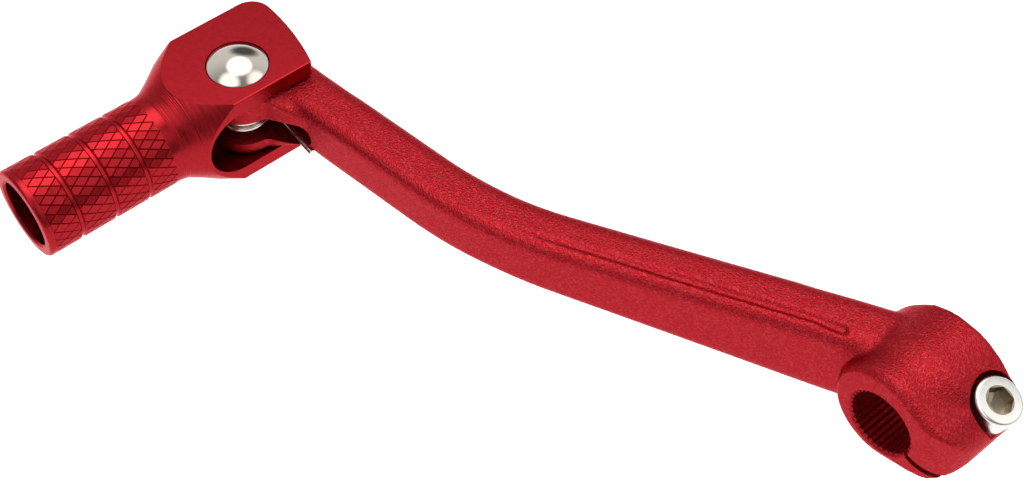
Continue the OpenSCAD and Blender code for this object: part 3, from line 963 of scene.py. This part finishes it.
class SHIFT_OT_tip(bpy.types.Operator):
    """Turn the toe tip, mill its clevis and roll the knurl on its peg"""

    bl_idname = "shift.tip"
    bl_label = "Toe Tip"

    def execute(self, context):
        tip, small = sizes().tip, sizes().small
        low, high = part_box("toe_tip")
        axis = Vector(((low.x + high.x) / 2, PIVOT.y, (low.z + high.z) / 2))
        reach = high.y - PIVOT.y
        inboard = low.y - PIVOT.y
        body = turned(tip_outline(tip, tip.knurl_start, reach, inboard - 3 * MM), axis,
                      OUTBOARD, 160)
        boolean(body, "INTERSECT", self.clevis(tip, low, high))
        boolean(body, "DIFFERENCE", *self.slot_tools(tip, small, axis, low, high))
        self.knurl(tip, body, axis, reach)
        depth = axis + OUTBOARD * (reach - tip.hole_depth)
        mouth = axis + OUTBOARD * reach
        lip = 0.45 * MM
        point = depth - OUTBOARD * 3 * MM
        boolean(body, "DIFFERENCE",
                turned([(0, 0), (tip.hole_radius, 3 * MM),
                        (tip.hole_radius, 3 * MM + tip.hole_depth - lip),
                        (tip.hole_radius + 2 * lip, 3 * MM + tip.hole_depth + lip),
                        (0, 3 * MM + tip.hole_depth + lip)], point, OUTBOARD, 96))
        skin = turned_red(sizes().finishes.milled, axis.x, axis.z,
                          PIVOT.y + 2 * MM, PIVOT.y + tip.knurl_start - 0.2 * MM)
        finished(body, "folding_tip", skin, "toe_tip", "tip", 28)
        return {"FINISHED"}

    def clevis(self, tip, low, high):
        """Flat sided blank with rounded ears, chamfered along its edges."""
        blank = block((low.x, low.y - 5 * MM, low.z), (high.x, high.y + 5 * MM, high.z))
        middle = Vector(((low.x * 0.25 + high.x * 0.75), low.y + tip.ear_arc, 0))
        arc = cone(middle - UP * 0.1, middle + UP * 0.1, tip.ear_arc, segments=512)
        corner = Vector((high.x - tip.ear_corner, low.y + tip.ear_corner, 0))
        far, near = low.y - 0.6 * MM, high.y + 5 * MM
        outline = hulled(
            cone(corner - UP * 0.1, corner + UP * 0.1, tip.ear_corner, segments=128),
            block((low.x + MM, far, -0.1), (corner.x - 4 * MM, near, 0.1)),
            block((low.x, low.y + 3.2 * MM, -0.1), (corner.x, near, 0.1)),
            block((corner.x, corner.y, -0.1), (high.x, near, 0.1)))
        boolean(blank, "INTERSECT", arc, outline)
        edit(blank, "EDGE")
        pick("EDGE", lambda e: e.calc_face_angle(0) > 0.4)
        bpy.ops.mesh.bevel(offset=tip.chamfer, affect="EDGES", segments=2)
        done()
        return blank

    def slot_tools(self, tip, small, axis, low, high):
        """Tools for the slot between the ears, the pin bore and the seat of the pin's head."""
        radius = tip.slot_height / 2
        floor = Vector((0, PIVOT.y + tip.slot_floor - radius, axis.z))
        side = Vector((0.03, 0, 0))
        middle = floor + Vector((axis.x, 0, 0))
        slot = hulled(cone(middle - side, middle + side, radius, segments=128),
                      block(middle - side - Vector((0, 0.05, radius)),
                            middle + side + Vector((0, -0.04, radius))))
        head_low, head_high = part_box("pivot_pin")
        head = (head_high.x - head_low.x) / 2
        seat = Vector((PIVOT.x, PIVOT.y, high.z - small.head_seat))
        reach = 0.1 * MM
        return [
            slot,
            cone(PIVOT - UP * 0.03, PIVOT + UP * 0.03, small.pin_radius + small.pin_play),
            turned([(0, 0), (head + small.seat_ring, 0),
                    (head + small.seat_ring + reach, small.head_seat),
                    (head + small.seat_ring + reach, MM), (0, MM)], seat),
        ]

    def knurl(self, tip, body, axis, reach):
        """Adds the knurled sleeve, parted by the turned grooves."""
        stop = reach - tip.rim
        start = tip.knurl_start + tip.band
        sleeve = knurled_rod(tip, start - 0.02 * MM, stop + 0.02 * MM)
        pitch = (stop + 0.1 * MM - tip.knurl_start) / (tip.groove_count + 0.8)
        wide = tip.groove_depth * 1.1
        outer = tip.peg_radius + 0.2 * MM
        inner = tip.peg_radius - tip.groove_depth
        for step in range(1, tip.groove_count + 1):
            level = tip.knurl_start + pitch * step
            ring = [(outer, wide), (inner, 0.12 * MM), (inner, -0.12 * MM), (outer, -wide),
                    (outer + MM, -wide), (outer + MM, wide), (outer, wide)]
            boolean(sleeve, "DIFFERENCE", turned(ring, UP * level, UP, 96))
        sleeve.rotation_euler = OUTBOARD.to_track_quat("Z", "Y").to_euler()
        sleeve.location = axis
        fix(sleeve)
        boolean(body, "UNION", sleeve)


class SHIFT_OT_pin(bpy.types.Operator):
    """Turn the domed pivot pin, with its washer and clip"""

    bl_idname = "shift.pin"
    bl_label = "Pivot Pin"

    def execute(self, context):
        small = sizes().small
        self.pin(small)
        self.washer()
        self.clip(small)
        return {"FINISHED"}

    def pin(self, small):
        """Domed pin with a clip groove near its end."""
        low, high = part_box("pivot_pin")
        head = (high.x - low.x) / 2
        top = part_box("toe_tip")[1].z
        seat = top - small.head_seat - low.z
        crown = high.z - low.z
        rim = seat + small.head_rim
        rise = crown - rim
        dome = (head ** 2 + rise ** 2) / (2 * rise)
        sweep = math.asin(head / dome)
        arc = [(dome * math.sin(turn), crown - dome * (1 - math.cos(turn)))
               for turn in linear(0, sweep * 0.985, 24)]
        clip_low, clip_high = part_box("retaining_clip")
        groove = small.pin_radius - 0.9 * MM
        slack = 0.05 * MM
        bottom = clip_low.z - slack - low.z
        above = clip_high.z + slack - low.z
        lead = 0.4 * MM
        radius = small.pin_radius
        outline = arc + [(head, rim - 0.1 * MM), (head, seat + 0.05 * MM),
                         (head - 0.05 * MM, seat), (radius, seat), (radius, above),
                         (groove, above), (groove, bottom), (radius, bottom),
                         (radius, lead), (radius - lead, 0), (0, 0)]
        pin = turned(outline, Vector((PIVOT.x, PIVOT.y, low.z)), UP, 128)
        finished(pin, "domed_pin", polished_steel(sizes().finishes.polish), "pivot_pin",
                 "tip")

    def washer(self):
        """Plain washer with stamped edges."""
        low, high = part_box("pin_washer")
        outer = (high.x - low.x) / 2
        inner = sizes().small.pin_radius + 0.15 * MM
        ease = 0.15 * MM
        thick = high.z - low.z
        ring = [(inner, 0), (outer - ease, 0), (outer, ease), (outer, thick - ease / 2),
                (outer - ease / 2, thick), (inner + ease, thick), (inner, thick - ease),
                (inner, 0)]
        washer = turned(ring, Vector((PIVOT.x, PIVOT.y, low.z)), UP, 96)
        finished(washer, "plain_washer", zinc_plate(sizes().finishes.zinc), "pin_washer",
                 "tip")

    def clip(self, small):
        """Spring clip with three prongs, stamped from strip."""
        low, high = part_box("retaining_clip")
        outer = (high.y - low.y) / 2
        groove = small.pin_radius - 0.9 * MM
        here = Vector((PIVOT.x, PIVOT.y, 0))
        clip = cone(here + UP * low.z, here + UP * high.z, outer)
        mouth = groove * 0.8
        boolean(clip, "DIFFERENCE",
                cone(here - UP * 0.1, here + UP * 0.1, groove + 0.05 * MM),
                block(here - Vector((0, mouth, 0.1)), here + Vector((0.02, mouth, 0.1))))
        for turn in (110, 250):
            relief = here + Matrix.Rotation(math.radians(turn), 3, "Z") @ Vector(
                (groove + 0.6 * MM, 0, 0))
            boolean(clip, "DIFFERENCE",
                    cone(relief - UP * 0.1, relief + UP * 0.1, 0.9 * MM, segments=32))
        modify(clip, "BEVEL", width=0.08 * MM, segments=2, limit_method="ANGLE",
               angle_limit=math.radians(50))
        finished(clip, "spring_clip", drawn_wire(sizes().finishes.wire), "retaining_clip",
                 "tip")


class SHIFT_OT_spring(bpy.types.Operator):
    """Wind the return spring round the pin"""

    bl_idname = "shift.spring"
    bl_label = "Return Spring"

    def execute(self, context):
        small, tip = sizes().small, sizes().tip
        floor, _, coil, pitch, turns = pocket(small)
        low = floor + small.wire / 2 + 0.375 * MM
        top = low + pitch * turns
        start = -math.pi / 2
        centre = Vector((PIVOT.x, PIVOT.y, 0))
        outer, root = spring_leg(small)
        path = [outer + (root - outer) * share for share in linear(0, 1, 8)]
        steps = round(36 * turns)
        for step in range(steps + 1):
            turn = start + math.tau * turns * step / steps
            spot = Vector((math.cos(turn), math.sin(turn), 0)) * coil
            path.append(centre + spot + UP * (low + pitch * turns * step / steps))
        away = Vector((-math.sin(turn), math.cos(turn), 0))
        radius = tip.slot_height / 2
        wall = tip.slot_floor - radius + math.sqrt(radius ** 2 - (top - PIVOT.z) ** 2)
        leave = path[-1].copy()
        run = (wall + 0.6 * MM - (leave.y - PIVOT.y)) / away.y
        path += [leave + away * run * share for share in linear(0, 1, 6)[1:]]
        curve = bpy.data.curves.new("return_spring", "CURVE")
        curve.dimensions = "3D"
        curve.bevel_depth = small.wire / 2
        curve.bevel_resolution = 6
        curve.use_fill_caps = True
        spline = curve.splines.new("POLY")
        spline.points.add(len(path) - 1)
        for point, place in zip(spline.points, path):
            point.co = (*place, 1)
        spring = bpy.data.objects.new("return_spring_wire", curve)
        context.scene.collection.objects.link(spring)
        only(spring)
        bpy.ops.object.convert(target="MESH")
        spring = context.object
        finished(spring, "torsion_spring", drawn_wire(sizes().finishes.wire),
                 "return_spring", None, 50)
        centre + UP * low
        centre + UP * top
        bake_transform(spring)
        return {"FINISHED"}


class SHIFT_OT_bolt(bpy.types.Operator):
    """Turn the pinch bolt and broach its hexagon"""

    bl_idname = "shift.bolt"
    bl_label = "Pinch Bolt"

    def execute(self, context):
        small = sizes().small
        slot, along = bolt_axis(small)
        seat = slot + along * small.bolt_seat
        head, tall, thread = small.head_radius, small.head_height, small.bolt_radius
        ease = 0.7 * MM
        edge = [(head - ease * (1 - math.cos(turn)), tall - ease * (1 - math.sin(turn)))
                for turn in linear(0, math.pi / 2, 6)]
        flank = [(thread, 0), (thread, -small.bolt_length + 0.6 * MM),
                 (thread - 0.6 * MM, -small.bolt_length), (0, -small.bolt_length)]
        outline = ([(0, tall)] + edge[::-1] + [(head, 0.2 * MM), (head - 0.2 * MM, 0)]
                   + flank)
        bolt = turned(outline, Vector(), UP, 96)
        corner = small.key / 2 / math.cos(math.pi / 6)
        deep = tall / 2
        boolean(bolt, "DIFFERENCE",
                cone(UP * (tall - deep), UP * (tall + MM), corner, segments=6),
                cone(UP * (tall - deep - 1.3 * MM), UP * (tall - deep + 0.01 * MM), 0.0,
                     small.key / 2, 48))
        bolt.rotation_euler = along.to_track_quat("Z", "Y").to_euler()
        bolt.location = seat
        fix(bolt)
        skin = zinc_plate(sizes().finishes.zinc, seat, along, corner + 0.03 * MM)
        finished(bolt, "socket_head_bolt", skin, "pinch_bolt", "arm")
        return {"FINISHED"}


class SHIFT_OT_stage(bpy.types.Operator):
    """Lay the pale floor, hang the soft lamps and stand the camera"""

    bl_idname = "shift.stage"
    bl_label = "Stage"

    def execute(self, context):
        stage = sizes().stage
        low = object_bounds()[0]
        bpy.ops.mesh.primitive_plane_add(size=6, location=(0, 0, low[2] - stage.floor_drop))
        floor = fix(bpy.context.object)
        floor.name = "paper_floor"
        floor.data.materials.append(pale_floor(sizes().finishes.floor))
        floor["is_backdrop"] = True
        self.lamps(context, stage)
        self.camera(context, stage)
        return {"FINISHED"}

    def lamps(self, context, stage):
        """Soft lamps in a pale room, and one lamp that only brightens the paper."""
        data = bpy.data.lights.new("paper_lamp", "SUN")
        data.angle = math.radians(70)
        data.energy = stage.paper_light
        lamp = bpy.data.objects.new("paper_lamp", data)
        lamp.visible_glossy = False
        context.scene.collection.objects.link(lamp)
        world = bpy.data.worlds.new("pale_room")
        world.use_nodes = True
        room = Shader(world, "Generated")
        far = room.lobe(FAR_WAY, -0.5, 0.7, stage.near_wall, stage.far_wall)
        gap = room.lobe(GAP_WAY, 0.90, 0.985, 1.0, 0.12)
        box = room.lobe(stage.softbox_at, 0.85, 0.98, 0.0, stage.softbox)
        wing = room.lobe(WING_WAY, 0.84, 0.97, 0.0, stage.wing)
        kick = room.lobe(KICK_WAY, 0.86, 0.98, 0.0, stage.kick)
        lit = room.node("ShaderNodeBackground", {},
                        {"Color": (1, 1, 1, 1), "Strength": far * gap + box + wing + kick})
        room.node("ShaderNodeOutputWorld", {}, {"Surface": lit})
        context.scene.world = world
        context.scene.view_settings.view_transform = "Standard"

    def camera(self, context, stage):
        """Camera at its place, aimed and rolled."""
        data = bpy.data.cameras.new("camera")
        data.sensor_width = 36
        data.lens = stage.lens
        data.clip_start = 0.01
        camera = bpy.data.objects.new("camera", data)
        context.scene.collection.objects.link(camera)
        camera.location = stage.camera_at
        look = (Vector(stage.camera_aim) - Vector(stage.camera_at)).to_track_quat("-Z", "Y")
        camera.rotation_euler = (look @ Quaternion((0, 0, 1), stage.camera_roll)).to_euler()
        context.scene.camera = camera


class ShiftLever(bpy.types.PropertyGroup):
    """All sizes and colours of the shift lever"""

    forging: PointerProperty(type=ForgingSizes)
    tip: PointerProperty(type=TipSizes)
    small: PointerProperty(type=SmallPartSizes)
    finishes: PointerProperty(type=Finishes)
    stage: PointerProperty(type=StageSizes)


OPERATORS = (SHIFT_OT_forging, SHIFT_OT_tip, SHIFT_OT_pin, SHIFT_OT_spring, SHIFT_OT_bolt,
             SHIFT_OT_stage)


class SHIFT_PT_panel(bpy.types.Panel):
    """Lists the lever's operators and sizes"""

    bl_label = "Shift Lever"
    bl_idname = "SHIFT_PT_panel"
    bl_space_type = "VIEW_3D"
    bl_region_type = "UI"
    bl_category = "Shift Lever"

    def draw(self, context):
        for operator in OPERATORS:
            self.layout.operator(operator.bl_idname)
        for name in ("forging", "tip", "small", "finishes", "stage"):
            box = self.layout.box()
            box.label(text=name.title())
            group = getattr(context.scene.shift_lever, name)
            for prop in group.bl_rna.properties:
                if prop.identifier not in ("rna_type", "name"):
                    box.prop(group, prop.identifier)


CLASSES = (ForgingSizes, TipSizes, SmallPartSizes, Finishes, StageSizes, ShiftLever,
           *OPERATORS, SHIFT_PT_panel)


def register():
    """Registers the classes and hangs the sizes on the scene."""
    for each in CLASSES:
        bpy.utils.register_class(each)
    bpy.types.Scene.shift_lever = PointerProperty(type=ShiftLever)


def unregister():
    """Takes the classes and the sizes away again."""
    del bpy.types.Scene.shift_lever
    for each in reversed(CLASSES):
        bpy.utils.unregister_class(each)


def main():
    """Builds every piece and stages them."""
    register()
    bpy.ops.shift.forging()
    bpy.ops.shift.tip()
    bpy.ops.shift.pin()
    bpy.ops.shift.spring()
    bpy.ops.shift.bolt()
    bpy.ops.shift.stage()


if __name__ == "__main__":
    main()
